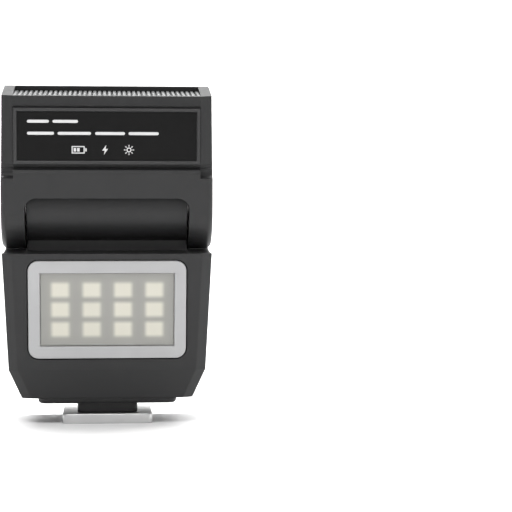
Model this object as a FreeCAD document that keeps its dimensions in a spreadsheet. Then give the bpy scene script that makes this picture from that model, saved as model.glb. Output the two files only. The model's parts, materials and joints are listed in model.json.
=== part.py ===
"""Compact bounce flash with an LED fill panel: a tilting head on a leaning body over a shoe plate.

X runs to the right seen from the front, the front faces -Y and Z is up. The origin is the bottom
centre of the shoe plate. Every size is in the sheet below, in millimetres or degrees.
"""
import FreeCAD, Part
import os
import re

import Sketcher
from FreeCAD import Vector

doc = FreeCAD.newDocument("speedlight_flash")
sheet = doc.addObject("Spreadsheet::Sheet", "sizes")

SIZES = [
    # the body's case
    ("case_front_z", 35.2, "height of the top front edge"),
    ("case_front_y", -16.5, "depth position of the top front edge"),
    ("case_lean", 10, "forward lean of the front and rear faces, degrees"),
    ("case_depth", 22.95, "front face to rear face, square to both"),
    ("case_top_width", 42.8, "width at the shoulders"),
    ("case_ridge_width", 40.3, "width where the sides turn in"),
    ("case_foot_width", 35.0, "width of the underside"),
    ("shoulder_z", 38.4, "height of the flat shoulders behind the head's arms"),
    ("rear_corner_z", 38.9, "height where the neck's slope meets the rear face"),
    ("ridge_z", 11.3, "height where the sides turn in"),
    ("rear_knee_z", 13.5, "height where the rear face turns upright"),
    ("case_foot_z", 5.4, "height of the underside"),
    ("case_foot_front_y", -10.8, "front edge of the underside"),
    ("case_foot_rear_y", 10.1, "rear edge of the underside"),
    ("case_wall", 1.4, "wall of the case"),
    ("case_floor", 2.2, "thickness of the case's floor"),
    ("parting_depth", 12.17, "front face to the case's parting plane"),
    ("front_facet_across", 2.05, "facet on the front upright edges, along X"),
    ("front_facet_back", 1.2, "facet on the front upright edges, along the side"),
    ("rear_facet", 0.8, "facet on the rear upright edges"),
    ("flank_front_strip", 2.1, "raised strip behind the front face, on each side"),
    ("flank_rear_strip", 1.6, "raised strip before the rear face, on each side"),
    ("flank_recess", 0.18, "depth of the side panel between the strips"),
    # pivot, barrel and neck
    ("pivot_y", -6.8, "pivot axis"),
    ("pivot_z", 45.2, "pivot axis"),
    ("barrel_radius", 7.5, "round top of the neck"),
    ("barrel_length", 32.7, "width of the barrel and the neck"),
    ("barrel_wall", 1.4, "wall of the barrel"),
    ("barrel_end_wall", 1.6, "end walls of the barrel"),
    ("neck_reach", 1.8, "pivot axis to the front face of the neck"),
    ("arm_gap", 0.3, "side gap between an arm and the barrel"),
    ("arm_sweep_gap", 0.4, "gap between an arm's round end and the case"),
    ("barrel_gap", 0.4, "gap between the barrel and the head around it"),
    # head
    ("head_lean", 13.5, "forward lean of the head as it stands, degrees"),
    ("head_top_u", 23.65, "pivot to the end face"),
    ("head_front_v", 5.7, "pivot plane to the front edge of the end face"),
    ("head_rear_v", 7.1, "pivot plane to the rear edge of the end face"),
    ("head_waist_u", 3.5, "pivot to the bend of the rear face"),
    ("arm_radius", 9.0, "round end of each arm"),
    ("head_top_width", 42.2, "width at the end face"),
    ("head_arm_width", 42.9, "width over the arms"),
    ("head_wall", 1.4, "wall of the head"),
    ("arm_edge_round", 1.1, "round on the arms' outer edges"),
    ("front_notch_u", 3.3, "pivot to the top of the front cut-out"),
    ("rear_notch_u", 4.0, "pivot to the top of the rear cut-out"),
    ("notch_corner", 2.4, "corner radius of the front cut-out"),
    ("cavity_floor_u", 9.6, "pivot to the floor of the head's chamber"),
    ("label_face_lean", 6.5, "slope of the front face against the head's axis, degrees"),
    ("ledge_rise", 0.7, "height of the ledge's slope"),
    ("ledge_gap", 0.75, "shadow gap between the ledge and the label plate"),
    ("ledge_gap_depth", 0.8, "depth of that gap"),
    ("side_facet_across", 2.3, "facet beside the label plate, along X"),
    ("side_facet_back", 0.8, "facet beside the label plate, along the side"),
    ("side_facet_u", 8.7, "pivot to the foot of the side facet"),
    ("side_facet_round", 1.3, "radius of the facet's run-out"),
    # label plate
    ("label_width", 37.5, "label plate, along X"),
    ("label_height", 11.3, "label plate, along the face"),
    ("label_centre_u", 15.65, "pivot to the label plate's centre"),
    ("label_thickness", 1.1, "label plate"),
    ("label_proud", 0.6, "label plate above the face around it"),
    ("label_rim", 0.75, "raised rim of the plate"),
    ("label_floor_depth", 0.35, "floor below the rim"),
    ("label_rim_bevel", 0.22, "bevel on the rim's inner edge"),
    ("label_gap", 0.1, "gap around the plate in its recess"),
    ("label_top_gap", 0.4, "shadow gap above the plate"),
    # lens
    ("lens_width", 37.6, "lens, along X"),
    ("lens_front_v", 4.9, "pivot plane to the lens's front edge"),
    ("lens_rear_v", 6.2, "pivot plane to the lens's rear edge"),
    ("lens_thickness", 1.6, "lens"),
    ("lens_lean", 4.6, "slope of the lens down to its rear edge, degrees"),
    ("lens_gap", 0.06, "gap around the lens"),
    ("lens_lip", 0.7, "width of the ledge that carries the lens"),
    ("rib_count", 37, "ribs on the lens"),
    ("rib_pitch", 1.0, "rib spacing"),
    ("rib_groove", 0.5, "width of the groove between two ribs"),
    ("rib_depth", 0.45, "depth of the groove between two ribs"),
    # light source of the head
    ("reflector_width", 35.8, "reflector trough, along X"),
    ("reflector_drop", 2.7, "end face to the trough's mouth"),
    ("reflector_foot_u", 13.2, "pivot to the trough's back"),
    ("reflector_mouth_front", 4.2, "pivot plane to the mouth's front edge"),
    ("reflector_mouth_rear", 5.4, "pivot plane to the mouth's rear edge"),
    ("reflector_foot_front", 1.6, "pivot plane to the back's front edge"),
    ("reflector_foot_rear", 2.8, "pivot plane to the back's rear edge"),
    ("reflector_sheet", 0.5, "reflector wall"),
    ("tube_radius", 1.4, "flash tube"),
    ("tube_length", 38.2, "flash tube"),
    ("tube_u", 15.6, "pivot to the tube"),
    ("tube_v", 0.6, "pivot plane to the tube"),
    ("tube_gap", 0.05, "gap around the tube"),
    ("sleeve_radius", 2.1, "tube end sleeve"),
    ("sleeve_length", 1.3, "tube end sleeve"),
    ("coil_radius", 1.7, "trigger coil"),
    ("coil_length", 8.0, "trigger coil"),
    ("coil_v", 4.8, "pivot plane to the coil"),
    ("coil_u", 11.8, "pivot to the coil"),
    ("head_screw_x", 12.0, "head screws, from the middle plane"),
    ("head_screw_u", 12.0, "pivot to the head screws"),
    ("head_boss_radius", 1.2, "posts that take the head screws"),
    # hinge
    ("cap_radius", 7.2, "hinge cap"),
    ("cap_thickness", 1.3, "hinge cap"),
    ("cap_gap", 0.1, "gap around the hinge cap"),
    ("cap_inset", 0.1, "cap below the arm's outer face"),
    ("cap_skirt_radius", 6.1, "ring on the cap's inner side"),
    ("cap_skirt_wall", 0.6, "wall of that ring"),
    ("cap_skirt_depth", 0.8, "depth of that ring"),
    ("arm_floor", 1.8, "inner wall of each arm"),
    ("axle_radius", 3.45, "hinge axle"),
    ("axle_bore_radius", 1.6, "wire passage through the axle"),
    ("axle_gap", 0.05, "running gap between axle and arm"),
    ("axle_seat_gap", 0.01, "gap between axle and barrel"),
    ("axle_flange_radius", 5.2, "flange inside the barrel"),
    ("axle_flange", 1.4, "thickness of that flange"),
    ("axle_groove_radius", 2.9, "groove for the retaining ring"),
    ("axle_tip", 0.3, "axle beyond the retaining ring"),
    ("washer_radius", 5.8, "friction washer"),
    ("washer_thickness", 0.35, "friction washer"),
    ("washer_gap", 0.05, "gap between washer and arm"),
    ("ring_radius", 5.1, "retaining ring"),
    ("ring_thickness", 0.6, "retaining ring"),
    ("ring_mouth", 3.6, "opening of the retaining ring"),
    # LED panel
    ("panel_z", 23.725, "height of the LED panel's centre on the front face"),
    ("bezel_width", 32.0, "LED bezel, along X"),
    ("bezel_height", 20.25, "LED bezel, along the face"),
    ("bezel_corner", 2.1, "corner radius of the bezel"),
    ("bezel_proud", 0.15, "bezel above the front face"),
    ("bezel_seat", 0.9, "depth of the bezel's recess"),
    ("bezel_gap", 0.18, "gap around the bezel"),
    ("window_width", 27.2, "window in the bezel, along X"),
    ("window_height", 15.15, "window in the bezel, along the face"),
    ("window_inset", 0.45, "diffuser below the bezel's face"),
    ("diffuser_rim", 0.75, "diffuser's rim behind the bezel"),
    ("diffuser_thickness", 1.0, "diffuser's plate"),
    ("light_frame_depth", 2.7, "diffuser to LED board"),
    ("light_frame_wall", 1.2, "wall of the light frame"),
    ("led_board_thickness", 1.0, "LED board"),
    ("led_width", 3.5, "LED, along X"),
    ("led_height", 2.8, "LED, along the face"),
    ("led_thickness", 0.75, "LED"),
    ("led_pitch_across", 6.35, "LED column spacing"),
    ("led_pitch_up", 4.1, "LED row spacing"),
    # electronics in the body
    ("battery_width", 30.0, "battery, along X"),
    ("battery_height", 19.5, "battery, along the face"),
    ("battery_thickness", 4.0, "battery"),
    ("battery_depth", 6.6, "front face to the battery"),
    ("battery_low", -11.5, "panel centre to the battery's lower edge"),
    ("board_width", 28.8, "main board, along X"),
    ("board_low", -13.0, "panel centre to the board's lower edge"),
    ("board_high", 9.5, "panel centre to the board's upper edge"),
    ("board_depth", 16.4, "front face to the main board"),
    ("board_thickness", 1.2, "main board"),
    ("transformer_side", 8.0, "transformer"),
    ("transformer_thickness", 5.0, "transformer"),
    ("transformer_x", 8.0, "transformer centre"),
    ("transformer_up", 3.5, "panel centre to the transformer centre"),
    ("capacitor_radius", 3.2, "main capacitor"),
    ("capacitor_length", 24.0, "main capacitor"),
    ("capacitor_depth", 12.6, "front face to the capacitor's axis"),
    ("capacitor_up", -14.9, "panel centre to the capacitor's axis"),
    # charging socket
    ("socket_width", 9.0, "charging socket, along the face"),
    ("socket_height", 3.2, "charging socket, square to the board"),
    ("socket_length", 7.3, "charging socket, along X"),
    ("socket_mouth_x", 19.2, "middle plane to the socket's mouth"),
    ("socket_up", -4.5, "panel centre to the socket's centre"),
    ("socket_shell", 0.3, "metal of the socket's shell"),
    ("socket_gap", 0.2, "gap around the socket in the case"),
    # power button and its switch
    ("button_z", 22.0, "height of the button's centre on the rear face"),
    ("button_radius", 3.0, "power button"),
    ("button_proud", 1.4, "button above the rear face"),
    ("button_round", 1.3, "round on the button's face"),
    ("button_gap", 0.1, "running gap around the button"),
    ("button_flange_radius", 3.9, "flange that keeps the button in"),
    ("button_flange", 0.8, "thickness of that flange"),
    ("button_travel", 0.4, "travel of the button"),
    ("switch_side", 6.0, "push switch"),
    ("switch_thickness", 2.0, "push switch"),
    ("switch_tip_radius", 1.2, "push switch's tip"),
    ("switch_tip_gap", 0.08, "gap left between tip and pressed button"),
    # screws of the case
    ("case_screw_x", 17.0, "case screws, from the middle plane"),
    ("case_screw_high", 8.0, "panel centre to the upper case screws"),
    ("case_screw_low", -11.5, "panel centre to the lower case screws"),
    ("case_boss_radius", 1.6, "posts that take the case screws"),
    ("case_column_radius", 2.2, "columns that the case screws pass"),
    ("screw_radius", 0.8, "screw shank"),
    ("screw_head_radius", 1.5, "screw head"),
    ("screw_head", 1.0, "screw head, thickness"),
    ("screw_gap", 0.05, "gap around a screw"),
    ("screw_sink", 2.2, "case screw heads below the rear face"),
    ("screw_grip", 5.0, "thread of a case screw past the parting plane"),
    ("small_screw_radius", 0.6, "head screw shank"),
    ("small_head_radius", 1.05, "head screw head"),
    ("small_head", 0.7, "head screw head, thickness"),
    ("driver_slot", 0.35, "width and depth of the cross in a screw head"),
    # foot
    ("tray_width", 28.5, "base tray, along X"),
    ("tray_length", 18.5, "base tray, along Y"),
    ("tray_bottom_z", 4.15, "underside of the tray"),
    ("tray_corner", 2.0, "corner radius of the tray"),
    ("tray_bevel", 0.45, "bevel under the tray"),
    ("block_width", 12.4, "foot block, along X"),
    ("block_length", 13.3, "foot block, along Y"),
    ("plate_width", 18.5, "shoe plate, along X"),
    ("plate_length", 18.8, "shoe plate, along Y"),
    ("plate_thickness", 2.05, "shoe plate"),
    ("plate_corner", 1.0, "corner radius of the shoe plate"),
    ("foot_screw_x", 4.4, "foot screws, from the middle plane"),
    ("foot_screw_y", 4.8, "foot screws, from the middle plane"),
    ("foot_screw_top_z", 7.2, "tip of the foot screws"),
    ("contact_radius", 1.0, "centre contact"),
    ("contact_flange_radius", 1.6, "flange of the centre contact"),
    ("contact_flange", 0.5, "thickness of that flange"),
    ("contact_tip", 1.1, "contact below its flange"),
    ("contact_stem_radius", 0.6, "contact above its flange"),
    ("contact_gap", 0.08, "running gap around the contact"),
    ("insulator_radius", 3.0, "insulator"),
    ("insulator_gap", 0.02, "gap around the insulator"),
    ("spring_radius", 1.2, "contact spring, to the wire's centre"),
    ("spring_wire", 0.18, "contact spring wire, radius"),
    ("spring_turns", 4, "contact spring turns"),
]

for row, (alias, value, note) in enumerate(SIZES, start=1):
    sheet.set(f"A{row}", alias)
    sheet.set(f"B{row}", str(value))
    sheet.set(f"C{row}", note)
    sheet.setAlias(f"B{row}", alias)
doc.recompute()

ALIASES = re.compile(r"\b(" + "|".join(alias for alias, value, note in SIZES) + r")\b")
ACROSS = "case_top_width"
X_AXIS, Y_AXIS, Z_AXIS = Vector(1, 0, 0), Vector(0, 1, 0), Vector(0, 0, 1)
NORMALS = {"YZ_Plane": X_AXIS, "XZ_Plane": Y_AXIS, "XY_Plane": Z_AXIS}


# ---- expressions -----------------------------------------------------------------------------

def qualified(text):
    """An expression in plain size names, as the document reads it."""
    return ALIASES.sub(r"sizes.\1", str(text))


def bind(thing, prop, text):
    thing.setExpression(prop, qualified(text))


def number(text):
    """The present value of an expression."""
    result = sheet.evalExpression(qualified(text))
    return float(getattr(result, "Value", result))


def size(alias):
    return float(sheet.get(alias))


def inside(frame, y, z, lean="0"):
    """A frame given inside another one; a frame is (y, z, lean about X in degrees)."""
    base_y, base_z, base_lean = frame
    turned = f"(({base_lean}) * 1 deg)"
    new_y = f"({base_y}) + ({y}) * cos{turned} - ({z}) * sin{turned}"
    new_z = f"({base_z}) + ({y}) * sin{turned} + ({z}) * cos{turned}"
    return new_y, new_z, f"({base_lean}) + ({lean})"


def front_y(z):
    """Depth position of the case's front face at a height."""
    return f"(case_front_y + (case_front_z - ({z})) * tan(case_lean * 1 deg))"


def rear_y(z):
    """Depth position of the case's rear face at a height."""
    return f"({front_y(z)} + case_depth / cos(case_lean * 1 deg))"


WORLD = ("0", "0", "0")
PIVOT = ("pivot_y", "pivot_z", "0")
HEAD = ("pivot_y", "pivot_z", "head_lean")
CASE = (front_y("panel_z"), "panel_z", "case_lean")
FACE_V = "(head_front_v + (head_top_u - label_centre_u) * tan(label_face_lean * 1 deg))"
LABEL_IN_HEAD = (f"-{FACE_V}", "label_centre_u", "-label_face_lean")
LABEL = inside(HEAD, *LABEL_IN_HEAD)
LENS_LENGTH = "((lens_front_v + lens_rear_v) / cos(lens_lean * 1 deg))"
LENS_IN_HEAD = (
    "(lens_rear_v - lens_front_v) / 2",
    f"head_top_u - {LENS_LENGTH} / 2 * sin(lens_lean * 1 deg)",
    "-lens_lean",
)
LENS = inside(HEAD, *LENS_IN_HEAD)
BUTTON_UP = "((button_z - panel_z - case_depth * sin(case_lean * 1 deg)) / cos(case_lean * 1 deg))"


def place(thing, frame):
    """Binds a thing's Placement to a frame."""
    y, z, lean = frame
    thing.Placement = FreeCAD.Placement(Vector(), FreeCAD.Rotation(X_AXIS, 1))
    bind(thing, "Placement.Base.y", y)
    bind(thing, "Placement.Base.z", z)
    bind(thing, "Placement.Rotation.Angle", f"({lean}) * 1 deg")
    return thing


# ---- sketched bodies -------------------------------------------------------------------------

def new_sketch(body, role, low, high):
    sketch = body.newObject("Sketcher::SketchObject", body.Name + "_sketch")
    plane = next(item for item in body.Origin.OriginFeatures if item.Role == role)
    sketch.AttachmentSupport = [(plane, "")]
    sketch.MapMode = "FlatFace"
    start = f"-({high})" if role == "XZ_Plane" else low
    bind(sketch, "AttachmentOffset.Base.z", start)
    return sketch


def fix_point(sketch, item, end, point):
    """Ties a sketch point to two expressions, measured from the sketch's origin."""
    for kind, text in zip(("DistanceX", "DistanceY"), point):
        rule = Sketcher.Constraint(kind, -1, 1, item, end, number(text))
        index = sketch.addConstraint(rule)
        bind(sketch, f"Constraints[{index}]", text)


def draw_outline(sketch, outline):
    """A closed outline of straight lines through the points."""
    first = sketch.GeometryCount
    corners = [Vector(number(across), number(up), 0) for across, up in outline]
    count = len(corners)
    for index in range(count):
        line = Part.LineSegment(corners[index], corners[(index + 1) % count])
        sketch.addGeometry(line, False)
    for index in range(count):
        following = first + (index + 1) % count
        sketch.addConstraint(Sketcher.Constraint("Coincident", first + index, 2, following, 1))
    for index in range(count):
        fix_point(sketch, first + index, 1, outline[index])


def pad_sketch(body, sketch, low, high):
    pad = body.newObject("PartDesign::Pad", body.Name + "_pad")
    pad.Profile = sketch
    bind(pad, "Length", f"({high}) - ({low})")
    doc.recompute()
    return pad


def slab(name, role, outline, low, high):
    """A body between two planes: an outline on a base plane, from low to high along its normal."""
    body = doc.addObject("PartDesign::Body", name)
    sketch = new_sketch(body, role, low, high)
    draw_outline(sketch, outline)
    pad_sketch(body, sketch, low, high)
    return body


def disc(name, role, centre, radius, low, high):
    """A round body between two planes."""
    body = doc.addObject("PartDesign::Body", name)
    sketch = new_sketch(body, role, low, high)
    middle = Vector(number(centre[0]), number(centre[1]), 0)
    sketch.addGeometry(Part.Circle(middle, Z_AXIS, number(radius)), False)
    fix_point(sketch, 0, 3, centre)
    index = sketch.addConstraint(Sketcher.Constraint("Radius", 0, number(radius)))
    bind(sketch, f"Constraints[{index}]", radius)
    pad_sketch(body, sketch, low, high)
    return body


def tube(name, role, centre, radius, bore, low, high):
    """A ring between two planes."""
    outer = disc(name + "_outer", role, centre, radius, low, high)
    inner = disc(name + "_bore", role, centre, bore, f"({low}) - 1", f"({high}) + 1")
    return cut(name, outer, inner)


def rectangle(width, height, across="0", up="0"):
    left = f"({across}) - ({width}) / 2"
    right = f"({across}) + ({width}) / 2"
    low = f"({up}) - ({height}) / 2"
    high = f"({up}) + ({height}) / 2"
    return [(left, low), (right, low), (right, high), (left, high)]


def edges_of(body, chosen):
    """Names of the edges of a body's tip that a test accepts."""
    edges = body.Tip.Shape.Edges
    return [f"Edge{index}" for index, edge in enumerate(edges, start=1) if chosen(edge)]


def along(axis):
    """A test for straight edges that run along an axis."""
    def test(edge):
        if len(edge.Vertexes) != 2:
            return False
        span = edge.Vertexes[1].Point - edge.Vertexes[0].Point
        return span.Length > 1e-6 and abs(abs(span.dot(axis)) - span.Length) < 1e-6
    return test


def round_edges(body, radius, chosen):
    names = edges_of(body, chosen)
    tip = body.Tip
    feature = body.newObject("PartDesign::Fillet", body.Name + "_round")
    feature.Base = (tip, names)
    bind(feature, "Radius", radius)
    doc.recompute()
    return body


def bevel_edges(body, width, chosen):
    names = edges_of(body, chosen)
    tip = body.Tip
    feature = body.newObject("PartDesign::Chamfer", body.Name + "_bevel")
    feature.Base = (tip, names)
    bind(feature, "Size", width)
    doc.recompute()
    return body


def plate(name, role, width, height, low, high, corner=None, across="0", up="0"):
    """A rectangular plate, with round corners if a radius is given."""
    body = slab(name, role, rectangle(width, height, across, up), low, high)
    if corner is not None:
        round_edges(body, corner, along(NORMALS[role]))
    return body


# ---- booleans --------------------------------------------------------------------------------

def fuse(name, *things):
    result = doc.addObject("Part::MultiFuse", name)
    result.Shapes = list(things)
    doc.recompute()
    return result


def cut(name, base, *tools):
    result = doc.addObject("Part::Cut", name)
    result.Base = base
    result.Tool = tools[0] if len(tools) == 1 else fuse(name + "_tools", *tools)
    doc.recompute()
    return result


def common(name, first, second):
    result = doc.addObject("Part::Common", name)
    result.Base = first
    result.Tool = second
    doc.recompute()
    return result


def group(name, *things):
    """Separate solids that share one node."""
    result = doc.addObject("Part::Compound", name)
    result.Links = list(things)
    doc.recompute()
    return result


nodes = {}


def node(label, thing, frame=WORLD):
    """Names a finished piece and puts it in its place."""
    thing.Label = label
    nodes[label] = place(thing, frame)
    return thing


def mirrored_range(sign, near, far):
    """The same stretch of X on the right (sign 1) or on the left (sign -1)."""
    return (near, far) if sign > 0 else (f"-({far})", f"-({near})")


SIDES = (("left", -1), ("right", 1))


# ---- screws ----------------------------------------------------------------------------------

def screw(name, role, centre, sign, head_face, tip, shank, head_radius, head):
    """A pan head and a shank along an axis; sign 1 points the tip to the axis's positive end."""
    head_end = f"({head_face}) + {sign} * ({head})"
    ranges = [(head_face, head_end), (head_end, tip)]
    radii = [head_radius, shank]
    parts = []
    for label, radius, (start, end) in zip(("head", "shank"), radii, ranges):
        low, high = (start, end) if sign > 0 else (end, start)
        parts.append(disc(f"{name}_{label}", role, centre, radius, low, high))
    slot_end = f"({head_face}) + {sign} * driver_slot"
    low, high = (head_face, slot_end) if sign > 0 else (slot_end, head_face)
    span = f"1.3 * ({head_radius})"
    arms = [
        plate(f"{name}_slot_a", role, span, "driver_slot", low, high, None, *centre),
        plate(f"{name}_slot_b", role, "driver_slot", span, low, high, None, *centre),
    ]
    return cut(name, fuse(name + "_blank", *parts), *arms)


# ---- case of the body ------------------------------------------------------------------------

FLANK_SLOPE = "((case_top_width - case_ridge_width) / 2 / (shoulder_z - ridge_z))"


def case_side(wall, floor):
    """Side outline of the case, drawn in by a wall."""
    square = f"({wall}) / cos(case_lean * 1 deg)"
    front_top = f"case_front_z - ({wall})"
    sweep_top = f"pivot_z - arm_radius - arm_sweep_gap - ({wall})"
    shoulder = f"shoulder_z - ({wall})"
    foot = f"case_foot_z + ({floor})"
    return [
        (f"{front_y(front_top)} + {square}", front_top),
        ("pivot_y", sweep_top),
        ("pivot_y", shoulder),
        (f"{rear_y(shoulder)} - {square}", shoulder),
        (f"{rear_y('rear_knee_z')} - {square}", "rear_knee_z"),
        (f"case_foot_rear_y - ({wall})", foot),
        (f"case_foot_front_y + ({wall})", foot),
        (f"{front_y('ridge_z')} + {square}", "ridge_z"),
    ]


def flank(wall):
    """Outline of what the case's taper leaves outside, on the right, seen from the front."""
    ridge = f"(case_ridge_width / 2 - ({wall}))"
    foot = f"(case_foot_width / 2 - ({wall}))"
    outside = "(case_top_width / 2 + 4)"
    return [
        (foot, "case_foot_z - 1"),
        (foot, "case_foot_z"),
        (ridge, "ridge_z"),
        (f"case_top_width / 2 - ({wall}) + {FLANK_SLOPE} * 6", "shoulder_z + 6"),
        (outside, "shoulder_z + 6"),
        (outside, "case_foot_z - 1"),
    ]


def case_block(name, wall, floor):
    """The right half of the case, drawn in by a wall."""
    body = slab(name, "YZ_Plane", case_side(wall, floor), "0", "case_top_width / 2 + 1")
    sketch = new_sketch(body, "XZ_Plane", "0", "0")
    draw_outline(sketch, flank(wall))
    pocket = body.newObject("PartDesign::Pocket", name + "_taper")
    pocket.Profile = sketch
    pocket.Type = "ThroughAll"
    pocket.Midplane = True
    doc.recompute()
    return body


def both_halves(name, half):
    """A right half and its mirror image, as one solid."""
    mirror = doc.addObject("Part::Mirroring", name + "_mirror")
    mirror.Source = half
    mirror.Normal = X_AXIS
    doc.recompute()
    whole = fuse(name, half, mirror)
    whole.Refine = True
    doc.recompute()
    return whole


def half_space(name, points, outward):
    """A large block whose one face lies in the plane of three points."""
    first, second, third = (Vector(*point) for point in points)
    normal = (second - first).cross(third - first).normalize()
    if normal.dot(outward) < 0:
        normal = -normal
    reach = 4 * size("case_depth")
    block = doc.addObject("Part::Feature", name)
    block.Shape = Part.makeBox(reach, reach, reach, Vector(-reach / 2, -reach / 2, 0))
    block.Placement = FreeCAD.Placement(first, FreeCAD.Rotation(Z_AXIS, normal))
    return block


def edge_facets(name, edge, across, back, outward):
    """Half spaces that cut a facet along a bent upright edge of the case's right side.

    The edge is a list of (half width, depth position, height). The facet starts a distance across
    from the edge on the face and ends a distance back from it on the side.
    """
    way = -outward.y / abs(outward.y)
    tools = []
    for index, (low, high) in enumerate(zip(edge, edge[1:])):
        ends = [tuple(number(text) for text in point) for point in (low, high)]
        on_face = [(x - number(across), y, z) for x, y, z in ends]
        x, y, z = ends[0]
        on_side = (x, y + way * number(back), z)
        tools.append(half_space(f"{name}_{index}", on_face + [on_side], outward))
    return tools


def faceted_case():
    foot, ridge, top = "case_foot_width / 2", "case_ridge_width / 2", "case_top_width / 2"
    knee = f"({ridge} + {FLANK_SLOPE} * (rear_knee_z - ridge_z))"
    front_top = f"({ridge} + {FLANK_SLOPE} * (case_front_z - ridge_z))"
    knee_share = "(ridge_z - case_foot_z) / (rear_knee_z - case_foot_z)"
    rear_at_ridge = f"case_foot_rear_y + ({rear_y('rear_knee_z')} - case_foot_rear_y) * {knee_share}"
    front_edge = [
        (foot, "case_foot_front_y", "case_foot_z"),
        (ridge, front_y("ridge_z"), "ridge_z"),
        (front_top, "case_front_y", "case_front_z"),
    ]
    rear_edge = [
        (foot, "case_foot_rear_y", "case_foot_z"),
        (ridge, rear_at_ridge, "ridge_z"),
        (knee, rear_y("rear_knee_z"), "rear_knee_z"),
        (top, rear_y("shoulder_z"), "shoulder_z"),
    ]
    tools = edge_facets("front_facet", front_edge, "front_facet_across", "front_facet_back",
                        Vector(1, -1, 0))
    tools += edge_facets("rear_facet", rear_edge, "rear_facet", "rear_facet", Vector(1, 1, 0))
    half = cut("case_half", case_block("case_outside", "0", "0"), *tools)
    return both_halves("case_faceted", half)


def flank_recess_tool():
    """A thin skin on each side between the front and rear strips."""
    start = "flank_front_strip / cos(case_lean * 1 deg)"
    end = "flank_rear_strip / cos(case_lean * 1 deg)"
    top, foot = "shoulder_z + 1", "case_foot_z - 1"
    outline = [
        (f"{front_y(top)} + {start}", top),
        (f"{rear_y(top)} - {end}", top),
        (f"{rear_y('rear_knee_z')} - {end}", "rear_knee_z"),
        (f"case_foot_rear_y - {end}", foot),
        (f"case_foot_front_y + {start}", foot),
        (f"{front_y('ridge_z')} + {start}", "ridge_z"),
    ]
    skin = slab("flank_skin", "YZ_Plane", outline, f"-{ACROSS} / 2 - 1", f"{ACROSS} / 2 + 1")
    core = case_core("flank_core", "flank_recess")
    return cut("flank_recess_skin", skin, core)


def case_core(name, wall):
    """A block of the case's front silhouette, drawn in by a wall and open to front and rear."""
    half = [f"case_foot_width / 2 - ({wall})", f"case_ridge_width / 2 - ({wall})"]
    over = f"case_top_width / 2 - ({wall}) + {FLANK_SLOPE} * 6"
    outline = [
        (half[0], "case_foot_z - 3"),
        (half[0], "case_foot_z"),
        (half[1], "ridge_z"),
        (over, "shoulder_z + 6"),
        (f"-({over})", "shoulder_z + 6"),
        (f"-({half[1]})", "ridge_z"),
        (f"-({half[0]})", "case_foot_z"),
        (f"-({half[0]})", "case_foot_z - 3"),
    ]
    return slab(name, "XZ_Plane", outline, "-case_depth * 2", "case_depth * 2")


CORNER_Y = f"({rear_y('rear_corner_z')} - pivot_y)"
CORNER_DROP = "(pivot_z - rear_corner_z)"


def neck_profile(wall):
    """Side outline of the neck, whose rear face runs tangent to the barrel."""
    radius = f"(barrel_radius - ({wall}))"
    reach = f"sqrt({CORNER_Y} ^ 2 + {CORNER_DROP} ^ 2)"
    normal = f"(acos(barrel_radius / {reach}) - atan({CORNER_DROP} / {CORNER_Y}))"
    base = "case_front_z - 6"
    corner_z = f"rear_corner_z - ({wall})"
    return [
        (f"pivot_y - neck_reach + ({wall})", base),
        (f"pivot_y - neck_reach + ({wall})", "pivot_z - barrel_radius / 2"),
        ("pivot_y", "pivot_z"),
        (f"pivot_y + {radius} * cos({normal})", f"pivot_z + {radius} * sin({normal})"),
        (f"{rear_y(corner_z)} - ({wall}) * 1.2", corner_z),
        (f"{rear_y(base)} - ({wall}) - 1", base),
    ]


def neck(name, wall, end_wall):
    low, high = f"-(barrel_length / 2 - ({end_wall}))", f"barrel_length / 2 - ({end_wall})"
    web = slab(name + "_web", "YZ_Plane", neck_profile(wall), low, high)
    barrel = disc(
        name + "_barrel", "YZ_Plane", ("pivot_y", "pivot_z"), f"barrel_radius - ({wall})", low, high
    )
    return fuse(name, web, barrel)


def arm_sweep(name, grow):
    """The round room that the head's arms turn in."""
    radius = f"arm_radius + arm_sweep_gap + ({grow})"
    low, high = f"-{ACROSS} / 2 - 2", f"{ACROSS} / 2 + 2"
    return disc(name, "YZ_Plane", ("pivot_y", "pivot_z"), radius, low, high)


def parting_block(name, low, high):
    """A block between two depths behind the front face."""
    body = plate(name, "XZ_Plane", "3 * case_top_width", "4 * pivot_z", low, high)
    return place(body, CASE)


CASE_SCREWS = [
    (f"{sign} * case_screw_x", up) for sign in (-1, 1) for up in ("case_screw_high", "case_screw_low")
]
FOOT_SCREWS = [
    (f"{sign} * foot_screw_x", f"{way} * foot_screw_y") for sign in (-1, 1) for way in (-1, 1)
]


def case_hole(name, centre, radius, low, high):
    """A round tool or post square to the case's front face."""
    return place(disc(name, "XZ_Plane", centre, radius, low, high), CASE)


def make_case():
    outside = cut("case_arched", faceted_case(), arm_sweep("arm_sweep_outside", "0"))
    solid = fuse("case_solid", outside, neck("neck_outside", "0", "0"))
    inside_half = case_block("case_inside", "case_wall", "case_floor")
    block = cut(
        "case_room", both_halves("case_inside_whole", inside_half),
        arm_sweep("arm_sweep_inside", "case_wall"),
    )
    room = fuse("case_chamber", block, neck("neck_inside", "barrel_wall", "barrel_end_wall"))
    hollow = cut("case_hollow", solid, room, flank_recess_tool())
    far = "3 * case_depth"
    front_block = parting_block("front_half", f"-({far})", "parting_depth")
    rear_block = parting_block("rear_half", "parting_depth", far)
    front = common("case_front_half", hollow, front_block)
    rear = common("case_rear_half", hollow, rear_block)

    posts = []
    columns = []
    for index, centre in enumerate(CASE_SCREWS):
        posts.append(case_hole(
            f"case_post_{index}", centre, "case_boss_radius", "case_wall / 2", "parting_depth"
        ))
        columns.append(case_hole(
            f"case_column_{index}", centre, "case_column_radius",
            "parting_depth", "case_depth - case_wall / 2",
        ))
    make_front_shell(fuse("case_front_posts", front, *posts))
    make_rear_shell(fuse("case_rear_columns", rear, *columns))


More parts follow.
